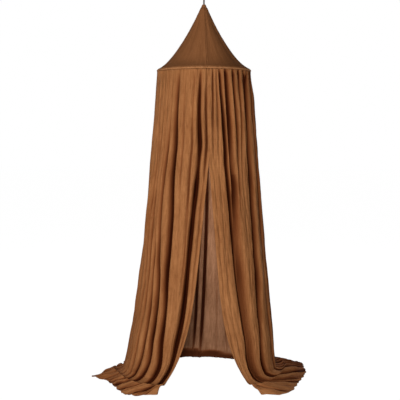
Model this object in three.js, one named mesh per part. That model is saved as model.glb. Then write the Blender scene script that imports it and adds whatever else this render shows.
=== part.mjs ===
import * as THREE from 'three';
import { mergeVertices } from 'three/addons/utils/BufferGeometryUtils.js';

// A bed crown canopy: a fabric cone on a hoop, hung by a cord from the ceiling, with gathered
// curtains that pool on the floor and part at the front. Millimetres, +Z up, front towards -Y.
// The origin is the centre of the ceiling plate's upper face.

// Overall sizes, with heights above the floor.
const hoopHeight = 1650;
const hoopOuterRadius = 250;
const crownHeight = 346;
const cordRise = 85;

// Ceiling plate and hook.
const plateRadius = 26;
const plateThickness = 3;
const plateBevel = 0.6;
const screwHoleRadius = 2.25;
const screwHoleOffset = 17;
const hookWireRadius = 2.5;
const hookBowRadius = 10;
const hookStemLength = 10;
const hookBendAngle = THREE.MathUtils.degToRad(60);
const hookBowAngle = THREE.MathUtils.degToRad(265);
const collarRadius = 6;
const collarHeight = 5;

// Hanging ring and cord.
const ringRadius = 13;
const ringWireRadius = 2;
const cordRadius = 2.25;

// Pieces at the crown's peak.
const bindingTopRadius = 8;
const bindingHeight = 18;
const cordHoleRadius = 5.5;
const washerRadius = 12;
const washerThickness = 1.5;
const knotRadius = 8;

// Hoop and its casing.
const hoopTubeRadius = 4;
const hoopTubeWall = 1.2;
const jointPinLength = 40;
const casingWall = 1.2;
const casingSlit = 2.4;

// Crown cloth.
const crownClothThickness = 1.6;
const goreCount = 4;
const goreSeamGap = 0.6;
const frontSeamHeading = THREE.MathUtils.degToRad(4);
const crownStraightShare = 0.62;
const crownCurveShare = 0.27;
const crownCurvePower = 2.3;
const crownBrimPower = 14;

// Curtain cloth. Its thickness stands for the cloth with its fine folds.
const curtainThickness = 3;
const pleatsPerPanel = 11;
const pleatDepthTop = 6;
const pleatDepthFloor = 15;
const pleatWander = 0.16;
const frontEdgeGap = 4;
const seamClearance = 2.5;
const splitClearance = 0.5;

// Plan of the curtains: how far each side swells between the hoop and the floor.
const topRadiusInset = 7;
const leftSpread = 138;
const leftFlare = 73;
const rightSpread = 148;
const rightFlare = 5;
const frontSpread = 48;
const backSpread = 36;
const flarePower = 5;
const sideSeamAngle = THREE.MathUtils.degToRad(120);
const seamPullPower = 8;
const leftSeamFoot = 373;
const rightSeamFoot = 353;

// Front opening. It starts at its peak and widens downwards.
const openingHeight = 1165;
const openingOffset = 24;
const leftOpeningSlope = 124;
const leftOpeningFlare = 132;
const leftOpeningPower = 5;
const rightOpeningSlope = 88;
const rightOpeningFlare = 154;
const rightOpeningPower = 6;
const splitAboveOpening = 22;

// Cloth that lies on the floor.
const puddleReach = 144;
const puddleRise = 50;
const puddleFoldHeight = 11;
const puddleRisePower = 2.4;

// Clearance between pieces that touch.
const touchGap = 0.3;

// Mesh fineness.
const roundSides = 20;
const wireSides = 4;
const hoopSides = 48;
const casingSides = 8;
const hookSteps = 32;
const ringSides = 32;
const pinSteps = 4;
const columnsPerPleat = 4;
const goreColumns = 10;
const goreRows = 9;
const topPanelRows = 3;
const wallRows = 7;
const cordSteps = 64;

// Places that follow from the sizes.
const casingRadius = hoopTubeRadius + touchGap + casingWall;
const hoopRadius = hoopOuterRadius - casingRadius;
const apexHeight = hoopHeight + crownHeight;
const ringWireHeight = apexHeight + cordRise;
const ringHeight = ringWireHeight + ringRadius;
const hookSeatHeight = ringHeight + ringRadius - ringWireRadius - touchGap - hookWireRadius;
const hookBowHeight = hookSeatHeight + hookBowRadius;
const hookStemFoot = hookBowHeight + 2 * hookBowRadius * Math.sin(hookBendAngle);
const plateUnderside = hookStemFoot + hookStemLength + touchGap;
const ceilingHeight = plateUnderside + plateThickness;
const bindingFoot = apexHeight - bindingHeight;
const washerTop = bindingFoot - touchGap;
const knotTop = washerTop - washerThickness - touchGap;
const curtainTop = hoopHeight - casingRadius - touchGap;
const curtainTopRadius = hoopOuterRadius - topRadiusInset;
const splitHeight = openingHeight + splitAboveOpening;

const steel = new THREE.MeshStandardMaterial({ color: 0xb9b7b2, roughness: 0.35, metalness: 1 });
const washerSteel = new THREE.MeshStandardMaterial({ color: 0xa8a6a0, roughness: 0.4, metalness: 1 });
const hoopPlastic = new THREE.MeshStandardMaterial({ color: 0x2e2b28, roughness: 0.5, metalness: 0 });
const pinMetal = new THREE.MeshStandardMaterial({ color: 0x9a9a9a, roughness: 0.45, metalness: 1 });
const cordFabric = new THREE.MeshStandardMaterial({ color: 0x3b2f27, roughness: 0.9, metalness: 0 });
const crownFabric = new THREE.MeshStandardMaterial({ color: 0x764a2d, roughness: 0.95, metalness: 0 });
const curtainFabric = new THREE.MeshStandardMaterial({ color: 0x94643f, roughness: 0.95, metalness: 0 });

// Turns a geometry into one closed body with merged corners and its faces pointing out.
function closedBody(source) {
  const geometry = source.index ? source.toNonIndexed() : source.clone();
  geometry.deleteAttribute('normal');
  geometry.deleteAttribute('uv');
  const merged = mergeVertices(geometry);
  const place = merged.getAttribute('position');
  const corners = merged.getIndex().array;
  const triangles = [];
  let volume = 0;
  const a = new THREE.Vector3();
  const b = new THREE.Vector3();
  const c = new THREE.Vector3();
  for (let i = 0; i < corners.length; i += 3) {
    const [p, q, r] = [corners[i], corners[i + 1], corners[i + 2]];
    if (p === q || q === r || r === p) continue;
    triangles.push([p, q, r]);
    a.fromBufferAttribute(place, p);
    b.fromBufferAttribute(place, q);
    c.fromBufferAttribute(place, r);
    volume += a.dot(b.cross(c));
  }
  const outward = volume < 0 ? triangles.map(([p, q, r]) => [p, r, q]) : triangles;
  merged.setIndex(outward.flat());
  merged.computeVertexNormals();
  return merged;
}

// A ring of revolution about +Z from a closed outline of [radius, height] points.
function turned(outline, sides = roundSides) {
  const points = outline.map(([radius, height]) => new THREE.Vector2(radius, height));
  points.push(points[0].clone());
  return closedBody(new THREE.LatheGeometry(points, sides).rotateX(Math.PI / 2));
}

// A round section, solid or with a bore, swept along a curve.
function swept(curve, radius, steps, sides = wireSides, boreRadius = 0) {
  const section = new THREE.Shape();
  section.absarc(0, 0, radius, 0, 2 * Math.PI, false);
  if (boreRadius > 0) {
    const bore = new THREE.Path();
    bore.absarc(0, 0, boreRadius, 0, 2 * Math.PI, true);
    section.holes.push(bore);
  }
  const options = { steps, curveSegments: sides, bevelEnabled: false, extrudePath: curve };
  return closedBody(new THREE.ExtrudeGeometry(section, options));
}

// A cloth shell: a grid of points on its middle surface, thickened to both sides.
function clothShell(grid, thickness, lowest = -Infinity) {
  const rowCount = grid.length;
  const columnCount = grid[0].length;
  const corners = [];
  for (const side of [1, -1]) {
    for (let row = 0; row < rowCount; row++) {
      for (let column = 0; column < columnCount; column++) {
        const left = grid[row][Math.max(column - 1, 0)];
        const right = grid[row][Math.min(column + 1, columnCount - 1)];
        const above = grid[Math.max(row - 1, 0)][column];
        const below = grid[Math.min(row + 1, rowCount - 1)][column];
        const across = right.clone().sub(left);
        const down = below.clone().sub(above);
        const normal = across.cross(down).normalize();
        const corner = grid[row][column].clone().addScaledVector(normal, side * thickness / 2);
        corners.push(corner.x, corner.y, Math.max(corner.z, lowest));
      }
    }
  }
  const half = rowCount * columnCount;
  const outer = (row, column) => row * columnCount + column;
  const inner = (row, column) => half + row * columnCount + column;
  const faces = [];
  const quad = (a, b, c, d) => faces.push(a, b, c, a, c, d);
  for (let row = 0; row < rowCount - 1; row++) {
    for (let column = 0; column < columnCount - 1; column++) {
      quad(outer(row, column), outer(row, column + 1), outer(row + 1, column + 1), outer(row + 1, column));
      quad(inner(row, column), inner(row + 1, column), inner(row + 1, column + 1), inner(row, column + 1));
    }
  }
  for (let column = 0; column < columnCount - 1; column++) {
    const last = rowCount - 1;
    quad(outer(0, column), inner(0, column), inner(0, column + 1), outer(0, column + 1));
    quad(outer(last, column), outer(last, column + 1), inner(last, column + 1), inner(last, column));
  }
  for (let row = 0; row < rowCount - 1; row++) {
    const last = columnCount - 1;
    quad(outer(row, 0), outer(row + 1, 0), inner(row + 1, 0), inner(row, 0));
    quad(outer(row, last), inner(row, last), inner(row + 1, last), outer(row + 1, last));
  }
  const geometry = new THREE.BufferGeometry();
  geometry.setAttribute('position', new THREE.Float32BufferAttribute(corners, 3));
  geometry.setIndex(faces);
  return closedBody(geometry);
}

function part(name, geometry, material) {
  const mesh = new THREE.Mesh(geometry, material);
  mesh.name = name;
  return mesh;
}

// The hook's centre line: a short stem, a bend to the side and an open bow back under the stem.
class HookLine extends THREE.Curve {
  getPoint(share, target = new THREE.Vector3()) {
    const bend = hookBowRadius * hookBendAngle;
    const bow = hookBowRadius * hookBowAngle;
    let travelled = share * (hookStemLength + bend + bow);
    if (travelled <= hookStemLength) {
      return target.set(0, 0, hookStemFoot + hookStemLength - travelled);
    }
    travelled -= hookStemLength;
    if (travelled <= bend) {
      const turn = Math.PI + travelled / hookBowRadius;
      const centreX = 2 * hookBowRadius * Math.cos(hookBendAngle);
      return target.set(
        centreX + hookBowRadius * Math.cos(turn), 0, hookStemFoot + hookBowRadius * Math.sin(turn));
    }
    const turn = hookBendAngle - (travelled - bend) / hookBowRadius;
    return target.set(
      hookBowRadius * Math.cos(turn), 0, hookBowHeight + hookBowRadius * Math.sin(turn));
  }
}

// An arc of a level circle about the axis, between two headings.
class LevelArc extends THREE.Curve {
  constructor(radius, height, start, sweep) {
    super();
    Object.assign(this, { radius, height, start, sweep });
  }

  getPoint(share, target = new THREE.Vector3()) {
    const heading = this.start + this.sweep * share;
    return target.set(this.radius * Math.sin(heading), -this.radius * Math.cos(heading), this.height);
  }
}

// Ceiling plate, with two screw holes.
function ceilingPlate() {
  const face = new THREE.Shape();
  face.absarc(0, 0, plateRadius - plateBevel, 0, 2 * Math.PI, false);
  for (const side of [-1, 1]) {
    const hole = new THREE.Path();
    hole.absarc(side * screwHoleOffset, 0, screwHoleRadius + plateBevel, 0, 2 * Math.PI, true);
    face.holes.push(hole);
  }
  const plate = new THREE.ExtrudeGeometry(face, {
    depth: plateThickness - 2 * plateBevel,
    curveSegments: roundSides / 2,
    bevelEnabled: true,
    bevelSegments: 1,
    bevelSize: plateBevel,
    bevelThickness: plateBevel,
  });
  plate.translate(0, 0, plateUnderside + plateBevel);
  return part('ceiling_plate', closedBody(plate), steel);
}

function ceilingHook() {
  return part('ceiling_hook', swept(new HookLine(), hookWireRadius, hookSteps), steel);
}

function hookCollar() {
  const top = plateUnderside - touchGap;
  const bore = hookWireRadius + touchGap;
  const edge = collarHeight / 4;
  const outline = [
    [bore, top], [collarRadius, top], [collarRadius, top - collarHeight + edge],
    [collarRadius - edge, top - collarHeight], [bore, top - collarHeight],
  ];
  return part('hook_collar', turned(outline), steel);
}

// The ring stands in the YZ plane, so that it hangs across the hook's wire.
function hangingRing() {
  const ring = new THREE.TorusGeometry(ringRadius, ringWireRadius, 2 * wireSides, ringSides);
  ring.rotateY(Math.PI / 2);
  ring.translate(0, 0, ringHeight);
  return part('hanging_ring', closedBody(ring), steel);
}

// The doubled cord, as a loop over the ring's lowest wire. Its places are measured from that wire.
const cordRoute = [
  [-2.4, 0, -104.8], [-2.4, 0, -97], [-2.4, 0, -88], [-2.4, 0, -76], [-2.5, 0, -62], [-2.8, 0, -48],
  [-3.3, 0, -34], [-3.9, 0, -21], [-4.4, 0, -10], [-4.66, 0, -3], [-4.4, 0, 1.7], [-3.3, 0, 3.35],
  [-1.75, 0, 4.4], [0, 0, 4.75], [1.75, 0, 4.4], [3.3, 0, 3.35], [4.4, 0, 1.7], [4.66, 0, -3],
  [4.4, 0, -10], [3.9, 0, -21], [3.3, 0, -34], [2.8, 0, -48], [2.5, 0, -62], [2.4, 0, -76],
  [2.4, 0, -88], [2.4, 0, -97], [2.4, 0, -104.8],
];

function hangingCord() {
  const line = new THREE.CatmullRomCurve3(cordRoute.map((point) => new THREE.Vector3(...point)));
  const cord = swept(line, cordRadius, cordSteps);
  cord.translate(0, 0, ringWireHeight);
  return part('hanging_cord', cord, cordFabric);
}

// Crown profile: the radius at a depth below the peak, which flares to the brim.
const crownDrop = crownHeight - casingRadius - touchGap - crownClothThickness / 2;

function crownRadius(depth) {
  const share = depth / crownDrop;
  const brimShare = 1 - crownStraightShare - crownCurveShare;
  const swell = crownStraightShare * share + crownCurveShare * share ** crownCurvePower
    + brimShare * share ** crownBrimPower;
  return bindingTopRadius + (hoopRadius - bindingTopRadius) * swell;
}

function apexBinding() {
  const outline = [
    [cordHoleRadius, apexHeight], [bindingTopRadius, apexHeight],
    [crownRadius(bindingHeight / 2), apexHeight - bindingHeight / 2],
    [crownRadius(bindingHeight), bindingFoot], [cordHoleRadius, bindingFoot],
  ];
  return part('apex_binding', turned(outline), crownFabric);
}

function apexWasher() {
  const foot = washerTop - washerThickness;
  const outline = [
    [cordHoleRadius, washerTop], [washerRadius, washerTop], [washerRadius, foot], [cordHoleRadius, foot],
  ];
  return part('apex_washer', turned(outline), washerSteel);
}

function apexKnot() {
  const knot = new THREE.SphereGeometry(knotRadius, roundSides / 2, roundSides / 2).rotateX(Math.PI / 2);
  knot.translate(0, 0, knotTop - knotRadius);
  return part('apex_knot', closedBody(knot), cordFabric);
}

// One gore of the crown, between two seams.
function crownGore(name, index) {
  const start = bindingHeight + touchGap + crownClothThickness / 4;
  const from = frontSeamHeading + index * 2 * Math.PI / goreCount;
  const grid = [];
  for (let row = 0; row <= goreRows; row++) {
    const share = (row / goreRows) ** 0.85;
    const depth = start + (crownDrop - start) * share;
    const radius = crownRadius(depth);
    const inset = goreSeamGap / 2 / radius;
    const line = [];
    for (let column = 0; column <= goreColumns; column++) {
      const sweep = 2 * Math.PI / goreCount - 2 * inset;
      const heading = from + inset + sweep * column / goreColumns;
      line.push(new THREE.Vector3(
        radius * Math.sin(heading), -radius * Math.cos(heading), apexHeight - depth));
    }
    grid.push(line);
  }
  return part(name, clothShell(grid, crownClothThickness), crownFabric);
}

// Half of the hoop: a tube with open ends. The halves meet at the sides.
function hoopHalf(name, start) {
  const gap = touchGap / hoopRadius;
  const arc = new LevelArc(hoopRadius, hoopHeight, start + gap / 2, Math.PI - gap);
  const bore = hoopTubeRadius - hoopTubeWall;
  return part(name, swept(arc, hoopTubeRadius, hoopSides / 2, wireSides, bore), hoopPlastic);
}

// A pin inside the hoop's ends that joins them.
function jointPin(name, heading) {
  const sweep = jointPinLength / hoopRadius;
  const arc = new LevelArc(hoopRadius, hoopHeight, heading - sweep / 2, sweep);
  const bore = hoopTubeRadius - hoopTubeWall;
  return part(name, swept(arc, bore - 2 * touchGap, pinSteps), pinMetal);
}

// The casing: a sleeve round the hoop with a slit along its inner side.
function hoopCasing() {
  const outer = casingRadius;
  const inner = casingRadius - casingWall;
  const halfSlit = casingSlit / 2;
  const outline = [];
  const place = (radius, turn) => [hoopRadius + radius * Math.cos(turn), hoopHeight + radius * Math.sin(turn)];
  for (const [radius, forward] of [[outer, true], [inner, false]]) {
    const reach = Math.PI - Math.asin(halfSlit / radius);
    for (let side = 0; side <= casingSides; side++) {
      const share = forward ? side / casingSides : 1 - side / casingSides;
      outline.push(place(radius, -reach + 2 * reach * share));
    }
  }
  return part('hoop_casing', turned(outline, hoopSides), crownFabric);
}

// Share of the way down from the hoop to the floor.
const fall = (height) => (hoopHeight - height) / hoopHeight;

// Curtain plan without folds: the point at a heading from the front, at a height.
function planPoint(heading, height) {
  const drop = fall(height);
  const left = leftSpread * drop + leftFlare * drop ** flarePower;
  const right = rightSpread * drop + rightFlare * drop ** flarePower;
  const acrossRadius = curtainTopRadius + (Math.sin(heading) < 0 ? left : right);
  const depthRadius = curtainTopRadius + (Math.cos(heading) > 0 ? frontSpread : backSpread) * drop;
  return new THREE.Vector2(acrossRadius * Math.sin(heading), -depthRadius * Math.cos(heading));
}

// The straight side seams, which are also the lines that the front curtains turn about.
function seamPoint(side, height) {
  const top = planPoint(side * sideSeamAngle, hoopHeight);
  const foot = planPoint(side * sideSeamAngle, 0);
  foot.x = side < 0 ? -leftSeamFoot : rightSeamFoot;
  return top.lerp(foot, fall(height));
}

// Heading of a front curtain's free edge at a height.
function edgeHeading(side, height) {
  const widening = Math.max(0, 1 - height / openingHeight);
  const [slope, flare, power] = side < 0
    ? [leftOpeningSlope, leftOpeningFlare, leftOpeningPower]
    : [rightOpeningSlope, rightOpeningFlare, rightOpeningPower];
  const edge = openingOffset + side * (frontEdgeGap / 2 + slope * widening + flare * widening ** power);
  const quarter = planPoint(side * Math.PI / 2, height);
  return Math.asin(edge / Math.abs(quarter.x));
}

// Adds the folds: the plan point moves in and out, and stays put at the panel's two ends.
function foldedPoint(headingAt, share, height, pull) {
  const planAt = (place) => planPoint(headingAt(place), height).add(pull(place));
  const probeShare = 0.002;
  const point = planAt(share);
  const before = planAt(share - probeShare);
  const after = planAt(share + probeShare);
  const along = after.sub(before).normalize();
  const outward = new THREE.Vector2(along.y, -along.x);
  if (outward.dot(point) < 0) outward.negate();
  const depth = pleatDepthTop + (pleatDepthFloor - pleatDepthTop) * fall(height);
  const wander = pleatWander * Math.sin(4 * Math.PI * share + 3 * fall(height));
  const wave = Math.sin(2 * Math.PI * (pleatsPerPanel * share + wander * Math.sin(Math.PI * share)));
  return point.addScaledVector(outward, depth * wave);
}

// Front panel: share 0 is at the side seam and share 1 at the free edge.
function frontWall(side, share, height) {
  const seam = side * sideSeamAngle;
  const edge = edgeHeading(side, height);
  const headingAt = (place) => seam + (edge - seam) * place;
  const shift = seamPoint(side, height).sub(planPoint(seam, height));
  const pull = (place) => shift.clone().multiplyScalar(Math.max(0, 1 - place) ** seamPullPower);
  return foldedPoint(headingAt, share, height, pull);
}

// Back panel: share 0 is at the right side seam and share 1 at the left one.
function backWall(share, height) {
  const start = sideSeamAngle;
  const sweep = 2 * (Math.PI - sideSeamAngle);
  const headingAt = (place) => start + sweep * place;
  const right = seamPoint(1, height).sub(planPoint(start, height));
  const left = seamPoint(-1, height).sub(planPoint(start + sweep, height));
  const pull = (place) => right.clone().multiplyScalar(Math.max(0, 1 - place) ** seamPullPower)
    .addScaledVector(left, Math.max(0, place) ** seamPullPower);
  return foldedPoint(headingAt, share, height, pull);
}

// Height of the level, square to the side seam, where a front curtain's lower part begins.
function splitLevel(side, share) {
  const top = seamPoint(side, hoopHeight);
  const foot = seamPoint(side, 0);
  const start = seamPoint(side, splitHeight);
  let height = splitHeight;
  for (let round = 0; round < 5; round++) {
    const offset = frontWall(side, share, height).sub(start);
    height = splitHeight + offset.dot(foot.clone().sub(top)) / hoopHeight;
  }
  return height;
}

// Columns across a panel, inset at both ends by a distance along the cloth.
function panelShares(length, insetStart, insetEnd) {
  const count = pleatsPerPanel * columnsPerPleat;
  const first = insetStart / length;
  const last = 1 - insetEnd / length;
  return Array.from({ length: count + 1 }, (unused, index) => first + (last - first) * index / count);
}

const panelLength = 2 * curtainTopRadius * (Math.PI - sideSeamAngle);

// Hem places of the front curtains: share of the panel, then the way from the foot of the wall
// to the hem in X and Y, as shares of the puddle's reach.
const leftHemShares = [
  [0, -0.67, 0.32], [0.15, -0.87, -0.07], [0.32, -0.98, -0.49], [0.45, -0.8, -0.57],
  [0.52, -0.62, -0.35], [0.65, -0.68, -0.5], [0.8, -0.58, -0.42], [0.93, -0.62, -0.53],
  [1, -0.62, -0.81],
];
const rightHemShares = [
  [0, 1.02, 0.85], [0.08, 1.3, 0.84], [0.18, 1.26, 0.72], [0.3, 1.14, 0.57],
  [0.42, 1.17, 0.3], [0.55, 1.06, 0.07], [0.7, 0.96, -0.31], [0.8, 0.92, -0.53],
  [0.9, 0.87, -0.71], [1, 0.79, -0.89],
];

function hemWay(table, share) {
  let row = 0;
  while (row < table.length - 2 && share > table[row + 1][0]) row++;
  const [from, fromX, fromY] = table[row];
  const [to, toX, toY] = table[row + 1];
  const along = THREE.MathUtils.smoothstep(share, from, to);
  return new THREE.Vector2(
    THREE.MathUtils.lerp(fromX, toX, along), THREE.MathUtils.lerp(fromY, toY, along),
  ).multiplyScalar(puddleReach);
}

// The back hem lies behind the wall and runs out towards the side seams.
function backHemWay(share, foot) {
  const reach = puddleReach * Math.max(0, Math.sin(Math.PI * share)) ** 1.5;
  return foot.clone().normalize().multiplyScalar(reach);
}

// Rows of a puddle, from the foot of the wall to the hem.
const puddleStepShares = [0.2, 0.42, 0.68, 1];

// The wall's own flare goes on down to the floor while the way to the hem carries the cloth out.
function puddlePoint(wall, way, share, step) {
  const middle = curtainThickness / 2;
  const rise = (puddleRise - middle) * (1 - step) ** puddleRisePower;
  const swing = (1 + Math.sin(2 * Math.PI * pleatsPerPanel * share)) / 2;
  const height = middle + rise + puddleFoldHeight * swing * 4 * step * (1 - step);
  const foot = wall(share, rise);
  return new THREE.Vector3(foot.x + way.x * step, foot.y + way.y * step, height);
}

function wallRow(shares, wall, heightAt) {
  return shares.map((share) => {
    const height = heightAt(share);
    const point = wall(share, height);
    return new THREE.Vector3(point.x, point.y, height);
  });
}

// The part of a front curtain above the opening, which stays with the hoop.
function frontTop(name, side) {
  const shares = panelShares(panelLength, seamClearance, 0);
  const wall = (share, height) => frontWall(side, share, height);
  const grid = [];
  for (let row = 0; row <= topPanelRows; row++) {
    const heightAt = (share) => THREE.MathUtils.lerp(
      curtainTop, splitLevel(side, share) + splitClearance / 2, row / topPanelRows);
    grid.push(wallRow(shares, wall, heightAt));
  }
  return part(name, clothShell(facingOut(grid), curtainThickness), curtainFabric);
}

// The lower part of a front curtain, which is drawn aside, with its puddle.
function frontLower(name, side) {
  const shares = panelShares(panelLength, seamClearance, 0);
  const wall = (share, height) => frontWall(side, share, height);
  const grid = [];
  for (let row = 0; row <= wallRows; row++) {
    const heightAt = (share) => THREE.MathUtils.lerp(
      splitLevel(side, share) - splitClearance / 2, puddleRise, row / wallRows);
    grid.push(wallRow(shares, wall, heightAt));
  }
  const table = side < 0 ? leftHemShares : rightHemShares;
  for (const step of puddleStepShares) {
    grid.push(shares.map((share) => puddlePoint(wall, hemWay(table, share), share, step)));
  }
  return part(name, clothShell(facingOut(grid), curtainThickness, 0), curtainFabric);
}

function backCurtain() {
  const shares = panelShares(panelLength, seamClearance, seamClearance);
  const grid = [];
  const rows = topPanelRows + wallRows;
  for (let row = 0; row <= rows; row++) {
    const height = THREE.MathUtils.lerp(curtainTop, puddleRise, row / rows);
    grid.push(wallRow(shares, backWall, () => height));
  }
  for (const step of puddleStepShares) {
    grid.push(shares.map((share) => {
      const way = backHemWay(share, backWall(share, puddleRise));
      return puddlePoint(backWall, way, share, step);
    }));
  }
  return part('curtain_back', clothShell(facingOut(grid), curtainThickness, 0), curtainFabric);
}

// Puts a grid's columns in the order that makes its upper face point away from the axis.
function facingOut(grid) {
  const middle = Math.floor(grid[0].length / 2);
  const across = grid[0][middle + 1].clone().sub(grid[0][middle]);
  const down = grid[1][middle].clone().sub(grid[0][middle]);
  const outward = grid[0][middle].clone().setZ(0);
  return across.cross(down).dot(outward) > 0 ? grid : grid.map((line) => [...line].reverse());
}

// The model stands on the floor inside a group that is hung from the ceiling plate's face.
const standing = new THREE.Group();
standing.position.z = -ceilingHeight;
standing.add(ceilingPlate(), hookCollar(), ceilingHook(), hangingRing(), hangingCord());
standing.add(apexBinding(), apexWasher(), apexKnot());
const goreNames = ['front_right', 'back_right', 'back_left', 'front_left'];
goreNames.forEach((place, index) => standing.add(crownGore(`crown_gore_${place}`, index)));
standing.add(hoopHalf('hoop_half_front', -Math.PI / 2), hoopHalf('hoop_half_back', Math.PI / 2));
standing.add(jointPin('hoop_joint_pin_left', -Math.PI / 2), jointPin('hoop_joint_pin_right', Math.PI / 2));
standing.add(hoopCasing());
standing.add(frontTop('curtain_top_front_left', -1), frontTop('curtain_top_front_right', 1));
standing.add(backCurtain());
standing.add(frontLower('curtain_front_left', -1), frontLower('curtain_front_right', 1));

const canopy = new THREE.Group();
canopy.add(standing);

export default canopy;
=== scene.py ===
"""Looks of a hanging bed crown canopy: a muslin cone on a hoop with gathered curtains that pool on
the floor. All lengths are metres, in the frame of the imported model: +Z up, front towards -Y.
Heights are measured from the floor on which the curtains lie."""
import math

import bmesh
import bpy
import numpy as np
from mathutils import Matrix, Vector


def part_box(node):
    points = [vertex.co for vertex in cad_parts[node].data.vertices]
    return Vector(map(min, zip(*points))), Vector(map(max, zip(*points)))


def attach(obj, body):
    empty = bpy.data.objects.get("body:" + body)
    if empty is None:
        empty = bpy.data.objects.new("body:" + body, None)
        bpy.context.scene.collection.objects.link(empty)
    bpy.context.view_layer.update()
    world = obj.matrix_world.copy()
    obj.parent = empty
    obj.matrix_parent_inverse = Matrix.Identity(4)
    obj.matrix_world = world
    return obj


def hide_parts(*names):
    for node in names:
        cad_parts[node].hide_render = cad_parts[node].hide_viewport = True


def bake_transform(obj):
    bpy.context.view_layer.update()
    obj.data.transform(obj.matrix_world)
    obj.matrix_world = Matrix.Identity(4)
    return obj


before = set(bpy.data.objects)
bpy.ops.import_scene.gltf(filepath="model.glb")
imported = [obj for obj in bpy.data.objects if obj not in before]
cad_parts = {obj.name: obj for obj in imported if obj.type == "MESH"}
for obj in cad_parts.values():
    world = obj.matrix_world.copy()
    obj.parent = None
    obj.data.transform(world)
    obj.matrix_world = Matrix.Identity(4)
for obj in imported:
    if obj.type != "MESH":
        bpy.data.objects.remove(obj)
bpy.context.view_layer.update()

# Sizes and places that the frame gives.
floor_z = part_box("curtain_back")[0][2]
hoop_low, hoop_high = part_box("hoop_casing")
hoop_height = (hoop_low[2] + hoop_high[2]) / 2 - floor_z
casing_radius = (hoop_high[2] - hoop_low[2]) / 2
hoop_radius = hoop_high[0] - casing_radius
binding_low, binding_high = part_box("apex_binding")
apex_z = binding_high[2]
ring_low, ring_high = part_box("hanging_ring")
knot_low, knot_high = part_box("apex_knot")


def add_object(name, data):
    """A new object that shows the data."""
    added = bpy.data.objects.new(name, data)
    bpy.context.scene.collection.objects.link(added)
    return added


# Image frame of the photograph and the camera that fits it.
IMAGE_SIDE = 400
CAMERA_FOCAL_PIXELS = 730.8
CAMERA_TILT = math.radians(5.67)
CAMERA_HEIGHT = 1.3518
CAMERA_DISTANCE = 3.9314
AXIS_PIXEL = 203.85
SENSOR_WIDTH = 36


def make_camera():
    """The camera that took the photograph."""
    camera_data = bpy.data.cameras.new("camera")
    camera = add_object("camera", camera_data)
    camera_data.sensor_width = SENSOR_WIDTH
    camera_data.lens = SENSOR_WIDTH * CAMERA_FOCAL_PIXELS / IMAGE_SIDE
    aside = (AXIS_PIXEL - IMAGE_SIDE / 2) * CAMERA_DISTANCE / CAMERA_FOCAL_PIXELS
    camera.location = (-aside, -CAMERA_DISTANCE, floor_z + CAMERA_HEIGHT)
    camera.rotation_euler = (math.pi / 2 - CAMERA_TILT, 0, 0)
    camera_data.clip_end = 100
    bpy.context.scene.camera = camera


make_camera()


# Helpers for arrays.
TINY = 1e-12


def smooth(value, start, end):
    """Eases from 0 at start to 1 at end. The start may be the higher of the two."""
    share = np.clip((np.asarray(value, float) - start) / (end - start), 0, 1)
    return share * share * (3 - 2 * share)


def mix(a, b, share):
    return a + (b - a) * share


def ripples(across, along, wave_across, wave_along, seed, count=9):
    """Smooth irregular waves of about one in height, with mean wavelengths across and along."""
    rng = np.random.default_rng(seed)
    total = 0
    for _ in range(count):
        turn_across = 2 * np.pi / (wave_across * rng.uniform(0.6, 1.7))
        turn_along = 2 * np.pi / (wave_along * rng.uniform(0.6, 1.7)) * rng.choice([-1, 1])
        total = total + np.sin(turn_across * across + turn_along * along + rng.uniform(0, 2 * np.pi))
    return total / math.sqrt(count / 2)


def full_turn(count):
    """Angles at even steps round a circle."""
    return np.arange(count) / count * 2 * np.pi


def way_along(path):
    """The way along a path to each of its points."""
    return np.append(0, np.cumsum(np.linalg.norm(np.diff(path, axis=0), axis=1)))


def grid_normals(points):
    """Unit normals of a grid of points, rows first, by central differences."""
    across = np.gradient(points, axis=1)
    down = np.gradient(points, axis=0)
    normals = np.cross(across, down)
    return normals / np.maximum(np.linalg.norm(normals, axis=2, keepdims=True), TINY)


# Helpers for meshes.
def new_mesh(name, vertices, faces, uvs=None):
    """A mesh object from a list or grid of points, and faces. uvs holds one pair for each point."""
    mesh = bpy.data.meshes.new(name)
    vertices = [tuple(v) for v in np.reshape(vertices, (-1, 3))]
    mesh.from_pydata(vertices, [], [tuple(int(i) for i in f) for f in faces])
    if uvs is not None:
        layer = mesh.uv_layers.new(name="cloth")
        corners = np.empty(len(mesh.loops), dtype=np.int64)
        mesh.loops.foreach_get("vertex_index", corners)
        layer.data.foreach_set("uv", np.reshape(uvs, (-1, 2))[corners].astype(np.float32).ravel())
    mesh.polygons.foreach_set("use_smooth", [True] * len(mesh.polygons))
    mesh.update()
    return add_object(name, mesh)


def dress(piece, material, body, slot, *nodes):
    """Gives a piece its material, the body that it rides on and the nodes it replaces. slot is not used.
    """
    piece.data.materials.clear()
    piece.data.materials.append(material)
    if body:
        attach(piece, body)
    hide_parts(*nodes)


def wrapped_faces(rows, columns):
    """Faces of a grid of points that closes on itself both ways, row by row."""
    index = np.arange(rows * columns).reshape(rows, columns)
    next_row, next_column = np.roll(index, -1, 0), np.roll(index, -1, 1)
    both = np.roll(next_row, -1, 1)
    return np.stack([index, next_row, both, next_column], axis=-1).reshape(-1, 4)


FLOOR_CLEARANCE = 0.0002


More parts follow.
